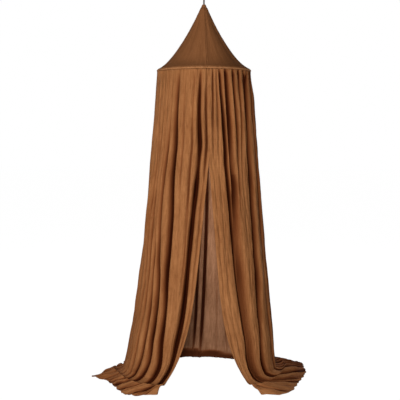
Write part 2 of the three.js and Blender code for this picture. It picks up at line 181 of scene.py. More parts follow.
def cloth_mesh(name, points, thickness, uvs):
    """A closed cloth shell about a grid of points. thickness is one value or one for each point."""
    half = grid_normals(points) * np.broadcast_to(thickness, points.shape[:2])[..., None] / 2
    vertices = np.concatenate([points + half, points - half])
    vertices[..., 2] = np.maximum(vertices[..., 2], floor_z + FLOOR_CLEARANCE)
    count = points[..., 0].size
    index = np.arange(count).reshape(points.shape[:2])
    outer = np.stack([index[:-1, :-1], index[:-1, 1:], index[1:, 1:], index[1:, :-1]], axis=-1)
    outer = outer.reshape(-1, 4)
    ring = np.concatenate([index[0], index[1:, -1], index[-1, -2::-1], index[-2:0:-1, 0]])
    after = np.roll(ring, -1)
    rim = np.stack([after, ring, ring + count, after + count], axis=-1)
    faces = np.concatenate([outer, outer[:, ::-1] + count, rim])
    piece = new_mesh(name, vertices, faces, np.concatenate([uvs, uvs]))
    recalculate(piece)
    return piece


CAP_ANGLES = (0.5, 1.0, 1.35)


def tube_mesh(name, path, radius, sides, rounded, strands, groove_depth, twist):
    """A closed tube along points, with laid strands that turn by twist in each metre."""
    tangents = np.gradient(path, axis=0)
    tangents /= np.linalg.norm(tangents, axis=1, keepdims=True)
    side = np.cross(tangents[0], (0, 1, 0))
    rings = []
    turns = full_turn(sides)
    for point, tangent, travelled in zip(path, tangents, way_along(path)):
        side = side - tangent * side.dot(tangent)
        side /= np.linalg.norm(side)
        other = np.cross(tangent, side)
        groove = np.abs(np.sin(strands * (turns - twist * travelled) / 2))
        local = radius * (1 - groove_depth * groove)
        ring = np.outer(np.cos(turns) * local, side) + np.outer(np.sin(turns) * local, other)
        rings.append(point + ring)
    if rounded:
        for end, sign in ((0, -1), (-1, 1)):
            centre, flat = path[end], rings[end]
            ahead = sign * tangents[end] * radius
            caps = [centre + (flat - centre) * math.cos(a) + ahead * math.sin(a) for a in CAP_ANGLES]
            rings = rings + caps if end else caps[::-1] + rings
    count = len(rings)
    ends = [ring.mean(0, keepdims=True) for ring in (rings[0], rings[-1])]
    vertices = np.concatenate(rings + ends)
    faces = list(wrapped_faces(count, sides)[:-sides, [0, 3, 2, 1]])
    low, high = count * sides, count * sides + 1
    for column in range(sides):
        after = (column + 1) % sides
        faces.append((low, after, column))
        faces.append((high, (count - 1) * sides + column, (count - 1) * sides + after))
    return new_mesh(name, vertices, faces)


def recalculate(piece):
    """Points a closed mesh's faces outwards."""
    work = bmesh.new()
    work.from_mesh(piece.data)
    bmesh.ops.recalc_face_normals(work, faces=work.faces)
    work.to_mesh(piece.data)
    work.free()


# Materials. A colour mix node's sockets share their names with those of its other data types.
FIRST_COLOUR_INPUT = 6
COLOUR_OUTPUT = 2


class Nodes:
    """Short names for building the nodes of a new material or world."""

    def __init__(self, name, kind=bpy.data.materials):
        self.holder = kind.new(name)
        self.holder.use_nodes = True
        self.tree = self.holder.node_tree
        self.shader = self.tree.nodes.get("Principled BSDF")

    def add(self, kind, links=None, **values):
        node = self.tree.nodes.new(kind)
        for key, value in values.items():
            setattr(node, key, value)
        for key, value in (links or {}).items():
            self.put(node, key, value)
        return node

    def put(self, node, key, value):
        socket = node.inputs[key]
        if isinstance(value, bpy.types.NodeSocket):
            self.tree.links.new(value, socket)
        else:
            socket.default_value = value

    def surface(self, values):
        """Sets the shader's inputs and gives the finished material."""
        for key, value in values.items():
            self.put(self.shader, key, value)
        return self.holder

    def scaled(self, source, scale):
        return self.add("ShaderNodeMapping", {"Vector": source, "Scale": scale}).outputs["Vector"]

    def noise(self, vector, scale, detail=3.0, rough=0.5, distortion=0.0):
        return self.add("ShaderNodeTexNoise", {
            "Vector": vector, "Scale": scale, "Detail": detail, "Roughness": rough,
            "Distortion": distortion}).outputs["Fac"]

    def math(self, operation, *values):
        node = self.add("ShaderNodeMath", operation=operation)
        for place, value in enumerate(values):
            self.put(node, place, value)
        return node.outputs["Value"]

    def toward(self, colour, other, value, start, end, most):
        """Blends a colour towards another one while value goes from start to end."""
        share = self.add("ShaderNodeMapRange", {
            "Value": value, "From Min": start, "From Max": end, "To Min": 0.0, "To Max": most},
            interpolation_type="SMOOTHSTEP").outputs["Result"]
        return self.add("ShaderNodeMix", {
            "Factor": share, FIRST_COLOUR_INPUT: colour, FIRST_COLOUR_INPUT + 1: (*other, 1)},
            data_type="RGBA").outputs[COLOUR_OUTPUT]

    def ramp(self, value, *stops):
        """Turns a value into a colour between two stops, each a place and a colour."""
        node = self.add("ShaderNodeValToRGB", {"Fac": value})
        for end, (place, colour) in zip(node.color_ramp.elements, stops):
            end.position = place
            end.color = (*colour, 1)
        return node.outputs["Color"]

    def bump(self, height, strength, distance, **below):
        return self.add("ShaderNodeBump", {
            "Height": height, "Strength": strength, "Distance": distance, **below}).outputs["Normal"]


def linear(*levels):
    """A colour given in 0 to 255 display values, as linear light."""
    return tuple(c / 255 / 12.92 if c <= 10 else ((c / 255 + 0.055) / 1.055) ** 2.4
                 for c in levels)


THREAD_PITCH = 0.0009
WAVE_SCALE = 1 / (THREAD_PITCH * 20)


def muslin(name, light, dark, crinkle=1.0, alpha=1.0, half_deep=None, deep=None):
    """Plain woven cotton gauze: slubby threads, a crinkle along the length and patchy dye. Its tone is
    partly painted shade in the hollows of the creases and wrinkles, and when half_deep and deep are
    given it also takes painted shade from the mesh, mostly in the cloth's folds.
    """
    m = Nodes(name)
    uv = m.add("ShaderNodeUVMap", uv_map="cloth").outputs["UV"]
    patches = m.noise(m.scaled(uv, (3.0, 2.0, 1)), 2.2, 4.0, 0.55)
    slubs = m.noise(m.scaled(uv, (420.0, 9.0, 1)), 1.0, 2.0, 0.6)
    weft = m.noise(m.scaled(uv, (11.0, 380.0, 1)), 1.0, 2.0, 0.6)
    creases = m.noise(m.scaled(uv, (70.0, 6.0, 1)), 1.0, 4.0, 0.65, 0.5)
    wrinkles = m.noise(m.scaled(uv, (150.0, 26.0, 1)), 1.0, 2.0, 0.5, 0.8)
    # The tone is partly the cloth's own, from dye patches, slubs and weft, and partly painted shade,
    # darker in the low places of the creases and wrinkles whose bumps use the same noise.
    tone = m.math("MULTIPLY_ADD", slubs, 0.22, m.math("MULTIPLY", patches, 0.32))
    tone = m.math("MULTIPLY_ADD", weft, 0.14, tone)
    tone = m.math("MULTIPLY_ADD", creases, 0.40, tone)
    tone = m.math("MULTIPLY_ADD", wrinkles, 0.32, tone)
    colour = m.ramp(tone, (0.55, dark), (0.90, light))
    threads = [
        m.add("ShaderNodeTexWave", {"Vector": uv, "Scale": WAVE_SCALE, "Distortion": 0.6, "Detail": 1.0},
              wave_type="BANDS", bands_direction=direction).outputs["Fac"] for direction in "XY"]
    fine = m.bump(m.math("ADD", *threads), 0.35, 0.0003)
    relief = m.bump(wrinkles, 0.6 * crinkle, 0.002, Normal=fine)
    relief = m.bump(creases, 0.8 * crinkle, 0.005, Normal=relief)
    # Painted shade: the colour goes towards half_deep and then deep as the mesh's painted shade rises,
    # mostly deep in the folds.
    if deep:
        inside = m.add("ShaderNodeAttribute", attribute_name="painted_shade_level").outputs["Fac"]
        colour = m.toward(colour, half_deep, inside, 0.03, 0.42, 0.85)
        colour = m.toward(colour, deep, inside, 0.20, 0.72, 0.97)
    return m.surface({
        "Base Color": colour, "Normal": relief, "Specular IOR Level": 0.02, "Alpha": alpha,
        "Roughness": m.math("MULTIPLY_ADD", slubs, 0.14, 0.82)})


def brushed_metal(name, tint, roughness):
    """Steel wire or plate with fine drawing marks and light wear."""
    m = Nodes(name)
    place = m.add("ShaderNodeTexCoord").outputs["Object"]
    marks = m.noise(m.scaled(place, (900, 900, 5200)), 1.0, 2.0, 0.5)
    patches = m.noise(place, 160.0, 3.0, 0.6)
    tone = m.math("MULTIPLY_ADD", patches, 0.6, m.math("MULTIPLY", marks, 0.4))
    colour = m.ramp(tone, (0.3, tuple(c * 0.72 for c in tint)), (0.7, tint))
    return m.surface({
        "Base Color": colour, "Metallic": 1.0, "Normal": m.bump(marks, 0.25, 0.0001),
        "Roughness": m.math("MULTIPLY_ADD", marks, 0.22, roughness)})


def moulded_plastic(name, tint):
    """Dull moulded tube, a little mottled and scuffed."""
    m = Nodes(name)
    place = m.add("ShaderNodeTexCoord").outputs["Object"]
    mottle = m.noise(place, 700.0, 3.0, 0.6)
    return m.surface({
        "Base Color": m.ramp(mottle, (0.3, tint), (0.7, tuple(c * 1.5 for c in tint))),
        "Roughness": m.math("MULTIPLY_ADD", mottle, 0.2, 0.45),
        "Normal": m.bump(mottle, 0.2, 0.0002)})


def twisted_cotton(name, light, dark):
    """Cotton cord: fine fibres over a twisted shape."""
    m = Nodes(name)
    place = m.add("ShaderNodeTexCoord").outputs["Object"]
    fibres = m.noise(m.scaled(place, (2600, 2600, 900)), 1.0, 3.0, 0.65)
    return m.surface({
        "Base Color": m.ramp(fibres, (0.3, dark), (0.72, light)), "Roughness": 0.9,
        "Specular IOR Level": 0.03, "Normal": m.bump(fibres, 0.5, 0.0003)})


CLOTH_LIGHT, CLOTH_DARK = linear(158, 107, 66), linear(118, 72, 40)
# Painted shade: the colours that the muslin goes to halfway into a fold and at its bottom.
PAINTED_HALF_SHADE, PAINTED_FULL_SHADE = linear(104, 54, 26), linear(46, 14, 3)
curtain_cloth = muslin("curtain_muslin", CLOTH_LIGHT, CLOTH_DARK, half_deep=PAINTED_HALF_SHADE, deep=PAINTED_FULL_SHADE)
# The back curtain's paler, greyer copy of the muslin is painted light, for light that comes through the
# thin single layer.
back_cloth_painted_light = muslin(
    "curtain_muslin_single_painted_light", linear(160, 116, 86), linear(112, 74, 50), 1.0, 0.98, PAINTED_HALF_SHADE, PAINTED_FULL_SHADE)
# The crown's darker copy of the muslin is painted shade on the upward-sloping cone.
crown_cloth_painted_shade = muslin("crown_muslin_painted_shade", linear(138, 90, 55), linear(114, 71, 41), 0.35)
# The casing's lighter copy of the muslin is a painted highlight on the rolled sleeve.
casing_cloth_painted_highlight = muslin("casing_muslin_painted_highlight", linear(168, 118, 78), linear(126, 80, 46), 0.5)
cord_cotton = twisted_cotton("cord_cotton", linear(74, 56, 42), linear(36, 26, 18))
steel = brushed_metal("hook_steel", linear(205, 203, 198), 0.25)
washer_steel = brushed_metal("washer_steel", linear(180, 178, 172), 0.4)
pin_metal = brushed_metal("pin_metal", linear(200, 200, 202), 0.35)
hoop_plastic = moulded_plastic("hoop_plastic", linear(52, 49, 46))

# The hanging cord: a loop from the knot over the ring and back. Its places are measured from the
# middle of the ring's lowest wire.
CORD_ROUTE = [
    (-0.0024, 0, -0.1048), (-0.0024, 0, -0.097), (-0.0024, 0, -0.088), (-0.0024, 0, -0.076),
    (-0.0025, 0, -0.062), (-0.0028, 0, -0.048), (-0.0033, 0, -0.034), (-0.0039, 0, -0.021),
    (-0.0044, 0, -0.010), (-0.00466, 0, -0.003), (-0.0044, 0, 0.0017), (-0.0033, 0, 0.00335),
    (-0.00175, 0, 0.0044), (0, 0, 0.00475), (0.00175, 0, 0.0044), (0.0033, 0, 0.00335),
    (0.0044, 0, 0.0017), (0.00466, 0, -0.003), (0.0044, 0, -0.010), (0.0039, 0, -0.021),
    (0.0033, 0, -0.034), (0.0028, 0, -0.048), (0.0025, 0, -0.062), (0.0024, 0, -0.076),
    (0.0024, 0, -0.088), (0.0024, 0, -0.097), (0.0024, 0, -0.1048),
]
CORD_RADIUS = 0.00225
CORD_STEP = 0.0011
KNOT_POINTS = 120
CORD_STRANDS = 3
STRAND_DEPTH = 0.16
LAY_LENGTH = 0.016
RING_WIRE_RADIUS = (ring_high[0] - ring_low[0]) / 2


def smooth_path(points, step):
    """Points at an even step along a smooth curve through the given ones."""
    ends = np.concatenate([[2 * points[0] - points[1]], points, [2 * points[-1] - points[-2]]])
    fine = []
    for a, b, c, d in zip(ends, ends[1:], ends[2:], ends[3:]):
        for t in np.linspace(0, 1, 12, endpoint=False):
            fine.append(0.5 * (2 * b + (c - a) * t + (2 * a - 5 * b + 4 * c - d) * t ** 2
                               + (3 * b - 3 * c + d - a) * t ** 3))
    fine = np.array(fine + [points[-1]])
    lengths = way_along(fine)
    places = np.linspace(0, lengths[-1], max(2, round(lengths[-1] / step)))
    return np.stack([np.interp(places, lengths, values) for values in fine.T], axis=1)


def make_cord():
    """The cord and its knot, a trefoil drawn up under the washer."""
    path = smooth_path(np.add(CORD_ROUTE, (0, 0, ring_low[2] + RING_WIRE_RADIUS)), CORD_STEP)
    lay = (CORD_STRANDS, STRAND_DEPTH, 2 * np.pi / LAY_LENGTH)
    cord = tube_mesh("hanging_cord_twisted", path, CORD_RADIUS, 18, False, *lay)
    dress(cord, cord_cotton, "cord", "cord_fabric", "hanging_cord")
    turns = np.linspace(0, 2 * np.pi, KNOT_POINTS)
    reach = ((knot_high[2] - knot_low[2]) / 2 - CORD_RADIUS) / 3
    loops = np.add(knot_low, knot_high) / 2 + reach * np.stack([
        np.sin(turns) + 2 * np.sin(2 * turns), -np.sin(3 * turns),
        np.cos(turns) - 2 * np.cos(2 * turns)], axis=1)
    knot = tube_mesh("apex_knot_tied", loops, CORD_RADIUS, 14, True, *lay)
    dress(knot, cord_cotton, "cord", "cord_fabric", "apex_knot")


make_cord()

# Curtain plan, as the frame's solids have it: half width and half depth from hoop to floor.
TOP_INSET, TOP_GAP = 0.007, 0.0005
LEFT_SPREAD, LEFT_FLARE = 0.138, 0.073
RIGHT_SPREAD, RIGHT_FLARE = 0.148, 0.005
FRONT_SPREAD, BACK_SPREAD = 0.048, 0.036
FLARE_POWER = 5
SIDE_SEAM = math.radians(120)
LEFT_SEAM_FOOT, RIGHT_SEAM_FOOT = 0.373, 0.353
SEAM_PULL_POWER = 8
OPENING_HEIGHT = 1.165
OPENING_OFFSET = 0.024
EDGE_GAP = 0.002
EDGE_OVERLAP = 0.012
LEFT_OPENING = (0.115, 0.129, 6)
RIGHT_OPENING = (0.088, 0.131, 6)
PUDDLE_REACH = 0.144
PUDDLE_RISE = 0.050
BACK_RISE = 0.014
BAND_HEIGHT = 0.045
BACK_ROLL = 0.050
SHOULDER = 0.009
PUDDLE_POWER = 2.4
top_radius = hoop_high[0] - TOP_INSET
curtain_top = hoop_height - casing_radius - TOP_GAP

# The cloth and its hems.
CLOTH_THICKNESS = 0.0009
HEM_THICKNESS = 0.0022
HEM_WIDTH = 0.014


def fall(height):
    """Share of the way down from the hoop to the floor."""
    return (hoop_height - height) / hoop_height


def plan_point(heading, height):
    """The curtain's plan without folds, at a heading from the front and a height."""
    drop = fall(height)
    left = LEFT_SPREAD * drop + LEFT_FLARE * drop ** FLARE_POWER
    right = RIGHT_SPREAD * drop + RIGHT_FLARE * drop ** FLARE_POWER
    across = top_radius + np.where(np.sin(heading) < 0, left, right)
    depth = top_radius + np.where(np.cos(heading) > 0, FRONT_SPREAD, BACK_SPREAD) * drop
    return np.stack([across * np.sin(heading), -depth * np.cos(heading)], axis=-1)


def seam_shift(side, height):
    """How far the straight side seam lies from the plan at its heading."""
    top = plan_point(np.asarray(side * SIDE_SEAM), np.asarray(hoop_height))
    foot = plan_point(np.asarray(side * SIDE_SEAM), np.asarray(0.0))
    foot[0] = -LEFT_SEAM_FOOT if side < 0 else RIGHT_SEAM_FOOT
    line = mix(top, foot, fall(height)[..., None])
    return line - plan_point(np.full_like(height, side * SIDE_SEAM), height)


def edge_heading(side, height):
    """Heading of a front curtain's free edge. Above the opening the left edge runs on behind the
    right one."""
    slope, flare, power = LEFT_OPENING if side < 0 else RIGHT_OPENING
    widening = np.clip(1 - height / OPENING_HEIGHT, 0, 1)
    spread = EDGE_GAP + slope * widening + flare * widening ** power
    lap = EDGE_OVERLAP * smooth(height, OPENING_HEIGHT - 0.02, OPENING_HEIGHT + 0.12)
    edge = OPENING_OFFSET + side * spread + (lap if side < 0 else 0)
    quarter = np.abs(plan_point(np.full_like(height, side * math.pi / 2), height)[..., 0])
    return np.arcsin(edge / quarter)


def wall_plan(side, shares, heights):
    """Plan points of a curtain without folds, for arrays of shares and heights of one shape. side is
    -1 for the left curtain, 1 for the right one and 0 for the back."""
    pull = seam_shift(side or 1, heights) * ((1 - shares) ** SEAM_PULL_POWER)[..., None]
    if side:
        heading = mix(side * SIDE_SEAM, edge_heading(side, heights), shares)
    else:
        heading = mix(SIDE_SEAM, 2 * math.pi - SIDE_SEAM, shares)
        pull = pull + seam_shift(-1, heights) * (shares ** SEAM_PULL_POWER)[..., None]
    return plan_point(heading, heights) + pull


# Fold lines. The levels run from the hem, by way of the foot of the wall, up to the hoop: below the
# foot a level says how far along the floor it is. Each row is one groove: its place at each level, in
# thousandths of the panel from its side seam, on the back the right one, how deep it is there, in
# hundredths of the full depth, and how many millimetres its flanks reach towards that seam and away.
HEM_LEVEL = -0.15
LEVELS = (HEM_LEVEL, 0.0, 0.27, 0.58, 0.88, 1.19, 1.46, 1.63)
DEPTH_LEVELS = (HEM_LEVEL, -0.08, 0.0, 0.20, 0.58, 0.88, 1.19, 1.46, 1.56, 1.615, 1.645)
GROOVE_DEPTHS = (0.006, 0.020, 0.026, 0.034, 0.042, 0.042, 0.038, 0.032, 0.026, 0.014, 0.005)
LEFT_GROOVES = [
    ((40, 50, 50, 50, 50, 50, 50, 50), (50, 60, 80, 80, 80, 80, 50, 30), 24, 24),
    ((120, 130, 130, 120, 120, 120, 120, 120), (30, 40, 50, 60, 70, 80, 50, 30), 20, 24),
    ((180, 210, 210, 200, 200, 190, 190, 190), (50, 70, 90, 90, 70, 60, 50, 30), 26, 22),
    ((240, 290, 280, 280, 270, 270, 260, 260), (20, 30, 30, 50, 60, 60, 60, 15), 22, 24),
    ((290, 360, 350, 340, 340, 330, 330, 330), (40, 30, 30, 30, 30, 30, 30, 15), 20, 20),
    ((340, 440, 420, 400, 410, 400, 400, 400), (20, 10, 10, 20, 30, 20, 20, 15), 20, 20),
    ((390, 520, 500, 480, 460, 470, 470, 470), (30, 20, 20, 30, 30, 60, 30, 15), 18, 22),
    ((440, 590, 570, 550, 510, 520, 530, 530), (40, 30, 30, 40, 70, 40, 20, 15), 22, 20),
    ((490, 660, 650, 610, 560, 575, 580, 590), (60, 70, 60, 50, 30, 30, 20, 15), 24, 18),
    ((560, 750, 735, 690, 630, 625, 630, 630), (100, 100, 100, 100, 70, 50, 20, 15), 34, 16),
    ((660, 860, 820, 770, 745, 712, 700, 705), (100, 100, 100, 100, 100, 100, 65, 20), 34, 18),
    ((710, 900, 875, 832, 800, 772, 765, 768), (10, 10, 10, 10, 10, 30, 20, 15), 16, 16),
    ((760, 930, 910, 890, 870, 850, 845, 858), (20, 10, 10, 20, 35, 35, 30, 20), 20, 18),
    ((820, 945, 936, 922, 918, 918, 900, 907), (100, 100, 110, 110, 110, 90, 80, 40), 21, 22),
    ((920, 980, 978, 976, 975, 972, 960, 965), (60, 30, 20, 20, 20, 40, 45, 30), 14, 14),
]
RIGHT_GROOVES = [
    ((30, 50, 50, 50, 50, 50, 50, 50), (50, 60, 80, 80, 80, 80, 90, 90), 24, 24),
    ((70, 130, 130, 120, 120, 120, 120, 120), (30, 40, 50, 60, 70, 80, 80, 90), 20, 24),
    ((110, 220, 210, 200, 200, 190, 190, 190), (50, 70, 90, 90, 70, 60, 70, 90), 26, 22),
    ((160, 310, 300, 290, 280, 270, 260, 260), (30, 30, 30, 40, 50, 50, 50, 90), 22, 24),
    ((200, 390, 380, 370, 360, 360, 340, 330), (50, 40, 40, 40, 40, 40, 40, 90), 26, 14),
    ((270, 500, 498, 480, 460, 465, 455, 430), (100, 100, 100, 100, 100, 100, 100, 100), 34, 12),
    ((340, 610, 600, 580, 565, 530, 515, 515), (20, 10, 10, 20, 40, 30, 60, 100), 22, 14),
    ((420, 710, 689, 650, 625, 595, 588, 585), (120, 120, 120, 120, 120, 120, 110, 100), 46, 12),
    ((470, 755, 735, 700, 680, 655, 655, 665), (10, 10, 10, 10, 10, 30, 100, 100), 22, 14),
    ((530, 790, 775, 760, 735, 719, 731, 745), (10, 10, 10, 10, 10, 90, 110, 100), 26, 12),
    ((590, 835, 818, 818, 815, 810, 820, 833), (60, 50, 42, 42, 50, 75, 110, 100), 54, 14),
    ((660, 872, 850, 850, 852, 860, 876, 895), (100, 100, 100, 100, 100, 110, 110, 60), 24, 12),
    ((740, 920, 920, 920, 915, 910, 915, 930), (30, 10, 10, 10, 10, 10, 30, 30), 18, 14),
    ((840, 970, 967, 965, 963, 962, 963, 965), (80, 30, 10, 10, 10, 10, 40, 40), 14, 12),
]
BACK_GROOVES = [
    ((50, 50, 50, 50, 50, 50, 50, 50), (50, 60, 80, 80, 80, 80, 90, 90), 24, 24),
    ((130, 120, 120, 120, 130, 130, 130, 120), (40, 60, 70, 50, 40, 60, 90, 90), 20, 24),
    ((190, 190, 190, 200, 200, 200, 190, 190), (70, 90, 90, 90, 80, 70, 80, 90), 26, 22),
    ((270, 270, 260, 260, 260, 270, 260, 250), (20, 15, 40, 60, 90, 90, 80, 90), 22, 24),
    ((340, 330, 330, 330, 330, 330, 330, 320), (20, 15, 40, 40, 60, 50, 80, 90), 26, 24),
    ((410, 410, 400, 390, 390, 390, 390, 390), (20, 15, 20, 20, 60, 90, 90, 90), 24, 22),
    ((540, 530, 508, 488, 472, 465, 450, 450), (20, 15, 100, 100, 100, 100, 100, 90), 15, 13),
    ((585, 575, 557, 545, 515, 510, 510, 510), (20, 15, 80, 70, 70, 40, 70, 90), 14, 12),
    ((660, 655, 640, 620, 600, 590, 580, 580), (20, 15, 10, 10, 40, 80, 90, 90), 24, 18),
    ((710, 710, 700, 680, 670, 660, 650, 650), (20, 15, 30, 30, 90, 60, 80, 90), 26, 20),
    ((780, 770, 760, 750, 740, 730, 730, 720), (30, 40, 50, 40, 60, 90, 80, 90), 20, 22),
    ((840, 830, 830, 820, 810, 810, 800, 800), (70, 90, 90, 80, 60, 50, 80, 90), 26, 22),
    ((900, 890, 890, 880, 880, 880, 880, 870), (40, 50, 50, 80, 90, 90, 80, 90), 20, 22),
    ((950, 950, 950, 950, 950, 950, 950, 950), (50, 60, 80, 80, 80, 80, 90, 90), 24, 24),
]


def level_curve(values, level, levels=LEVELS):
    """Values at the levels, joined smoothly for every level between them."""
    values, levels = np.array(values, float), np.array(levels)
    slopes = np.gradient(values, levels)
    place = np.clip(np.searchsorted(levels, level) - 1, 0, len(levels) - 2)
    width = levels[place + 1] - levels[place]
    t = np.clip((level - levels[place]) / width, 0, 1)
    return (values[place] * (2 * t ** 3 - 3 * t ** 2 + 1)
            + values[place + 1] * (3 * t ** 2 - 2 * t ** 3)
            + slopes[place] * width * (t ** 3 - 2 * t ** 2 + t)
            + slopes[place + 1] * width * (t ** 3 - t ** 2))


SHALLOWEST = 0.014
GROOVE_FLAT = 0.006
DEPTH_LIMITS = (0.02, 1.3)
DEPTH_WANDER = 0.10
WANDER_WAVE = 0.35
CROWDED_REACH = 0.7
WEAK_REACH = 3
SET_BACK = 0.5
WEAKEST = 0.05
LEAST_FLANK = 1e-5
WIDE_FLANK = (0.028, 0.044)
FLANK_POWERS = (2.3, 0.72)
SAG_SHARE, SAG_WIDTH = 0.14, 0.030
JOIN_POWER = 4
HALF_FOLD_COLUMNS = 8
COLUMN_CROWDING = 1.35


def groove_lines(side, grooves, levels, width, full, seed):
    """Places and depths of the grooves, for every row."""
    places, depths = (
        np.stack([level_curve(np.array(row[i]) / whole, levels) for row in grooves], axis=1)
        for i, whole in ((0, 1000), (1, 100)))
    wander = np.stack([
        ripples(0 * levels, levels, 1.0, WANDER_WAVE, seed + 70 + i)
        for i in range(len(grooves))], axis=1)
    depths = np.clip(depths, *DEPTH_LIMITS) * np.clip(1 + DEPTH_WANDER * wander, 0.7, 1.3)
    if side:
        # A groove's bottom lies nearer the axis than its ridges, so it is set back along the cloth.
        heading = SIDE_SEAM * (1 - places)
        back = SET_BACK * full * depths * np.sin(heading) / width
        places = places - back * smooth(heading, 0, 0.3) * smooth(places, 0.06, 0.3)
    return places, depths


def column_shares(marks, free_edge):
    """Each column's share of the panel, for every row. The columns follow the grooves at the marks,
    and a free edge lies halfway from the last groove to its mirror image."""
    count = marks.shape[1] - 1
    half = (np.arange(HALF_FOLD_COLUMNS) / HALF_FOLD_COLUMNS) ** COLUMN_CROWDING / 2
    within = np.concatenate([half, [0.5], 1 - half[:0:-1]])
    phases = np.append([index + within for index in range(count)], count)
    if free_edge:
        phases = phases[phases <= count - 0.5]
    index = np.minimum(phases.astype(int), count - 1)
    shares = np.clip(mix(marks[:, index], marks[:, index + 1], phases - index), 0, 1)
    shares[:, -1] = 1
    return shares


def fold_field(side, grooves, levels, widths, seed):
    """Column shares for every row, with the depth of the folds there and how deep inside a groove
    each place lies, which becomes the painted shade of the folds."""
    width = widths[:, None]
    full = level_curve(GROOVE_DEPTHS, levels, DEPTH_LEVELS)[:, None]
    places, depths = groove_lines(side, grooves, levels, width, full, seed)
    marks = np.pad(places, ((0, 0), (1, 1)))
    marks[:, -1] = 2 - places[:, -1] if side else 1
    depth_marks = np.pad(depths, ((0, 0), (1, 1)), "edge")
    shares = column_shares(marks, side != 0)
    total, sag = 0, 0
    for number, row in enumerate(grooves):
        place, depth = places[:, [number]], depths[:, [number]]
        away = (shares - place) * width
        reaches = []
        for beside, millimetres in zip((number, number + 2), row[2:]):
            gap = np.abs(marks[:, [beside]] - place) * width
            weak = np.clip(1 - depth_marks[:, [beside]] / np.maximum(depth, WEAKEST), 0, 1)
            crowded = gap * (CROWDED_REACH + WEAK_REACH * weak)
            reaches.append(np.minimum(millimetres / 1000, crowded))
        reach = np.where(away < 0, *reaches)
        flat = np.minimum(GROOVE_FLAT * depth, 0.3 * reach)
        rise = np.clip((np.abs(away) - flat) / np.maximum(reach - flat, LEAST_FLANK), 0, 1)
        steep = (1 - (1 - rise) ** FLANK_POWERS[0]) ** FLANK_POWERS[1]
        arch = mix(steep, smooth(rise, 0, 1), smooth(reach, *WIDE_FLANK))
        total = total + (depth * full * (1 - arch)) ** JOIN_POWER
        sag = sag - SAG_SHARE * full * depth * np.exp(-(away / SAG_WIDTH) ** 2)
    folds = total ** (1 / JOIN_POWER)
    return shares, sag - folds, np.clip(folds / np.maximum(full, SHALLOWEST), 0, 1)


# Hem places: share of the panel, then the way from the foot of the wall to the hem in X and Y, as
# shares of the puddle's reach.
LEFT_HEM = [
    (0, -0.16, 0.26), (0.1, -0.12, 0.03), (0.2, -0.14, -0.2), (0.32, -1.2, -0.44), (0.42, -0.54, -0.54),
    (0.52, -0.36, -0.66), (0.65, -0.34, -0.84), (0.8, -0.42, -1.02), (0.93, -0.26, -0.8),
    (1, -0.08, -0.58),
]
RIGHT_HEM = [
    (0, 1.16, 0.44), (0.08, 1.36, 0.42), (0.18, 1.28, 0.4), (0.3, 1.18, 0.4),
    (0.42, 1.21, 0.28), (0.55, 1.1, 0.06), (0.7, 1, -0.28), (0.8, 1.02, -0.6),
    (0.9, 0.84, -0.96), (1, 0.28, -0.8),
]
HEM_ROUNDING = 0.03

# How much of a column's way out over the floor is a quarter turn, and not straight: mostly, and at
# the free edge.
SWEEP, EDGE_SWEEP = 0.45, 0.95
SCALLOP_DEPTH, SCALLOP_WAVE = 0.022, 0.071


def hem_way(table, shares):
    """The smoothed way from the wall to the hem, for each share of the panel."""
    places, *ways = np.array(table).T
    near = np.add.outer(np.linspace(-HEM_ROUNDING, HEM_ROUNDING, 9), shares)
    return np.stack([np.interp(near, places, way).mean(axis=0) for way in ways], -1) * PUDDLE_REACH


def seam_closeness(side, places, width):
    """1 at the side seams of a curtain, falling to 0 at a width from them."""
    near = 1 - smooth(places, 0, width)
    return near if side else np.maximum(near, 1 - smooth(places[..., -1:] - places, 0, width))


def base_curve(side, shares, steps):
    """Points of a puddle without folds: the wall flares on down while the cloth runs out."""
    heights = np.broadcast_to(PUDDLE_RISE * (1 - steps[:, None]) ** PUDDLE_POWER, shares.shape)
    plan = wall_plan(side, shares, heights)
    swept = SWEEP
    if side:
        way = hem_way(LEFT_HEM if side < 0 else RIGHT_HEM, shares)
        swept = mix(SWEEP, EDGE_SWEEP, smooth(shares, 0.75, 1.0))[..., None]
    else:
        # Between the side seams, where it follows the front curtains, the back spreads outwards.
        foot = wall_plan(side, shares, np.zeros_like(shares))
        reach = PUDDLE_REACH * np.clip(np.sin(np.pi * shares), 0, 1) ** 1.5
        way = foot / np.linalg.norm(foot, axis=-1, keepdims=True) * reach[..., None]
        for table, share in ((RIGHT_HEM, shares), (LEFT_HEM, 1 - shares)):
            way = way + smooth(share, 0.22, 0)[..., None] * hem_way(table, np.zeros(1))[0]
    wavy = SCALLOP_DEPTH * ripples(shares, 0 * shares, SCALLOP_WAVE, 1.0, 4 + side) * steps[:, None]
    scallop = 1 + wavy * (1 - seam_closeness(side, shares, 0.05))
    aside, ahead = 1 - np.cos(steps * np.pi / 2), np.sin(steps * np.pi / 2)
    course = mix(steps[:, None, None], np.stack([aside, ahead], axis=-1)[:, None], swept)
    plan = plan + way * course * scallop[..., None]
    return np.concatenate([plan, heights[..., None]], axis=-1)


# Rows of the grid. They crowd a little towards the casing, and the cloth spreads out on the floor.
WALL_ROWS = 152
FLOOR_ROWS = 44
GATHER_ROWS = 10
ROW_CROWDING = 1.12
FLOOR_SPREAD = 1.35

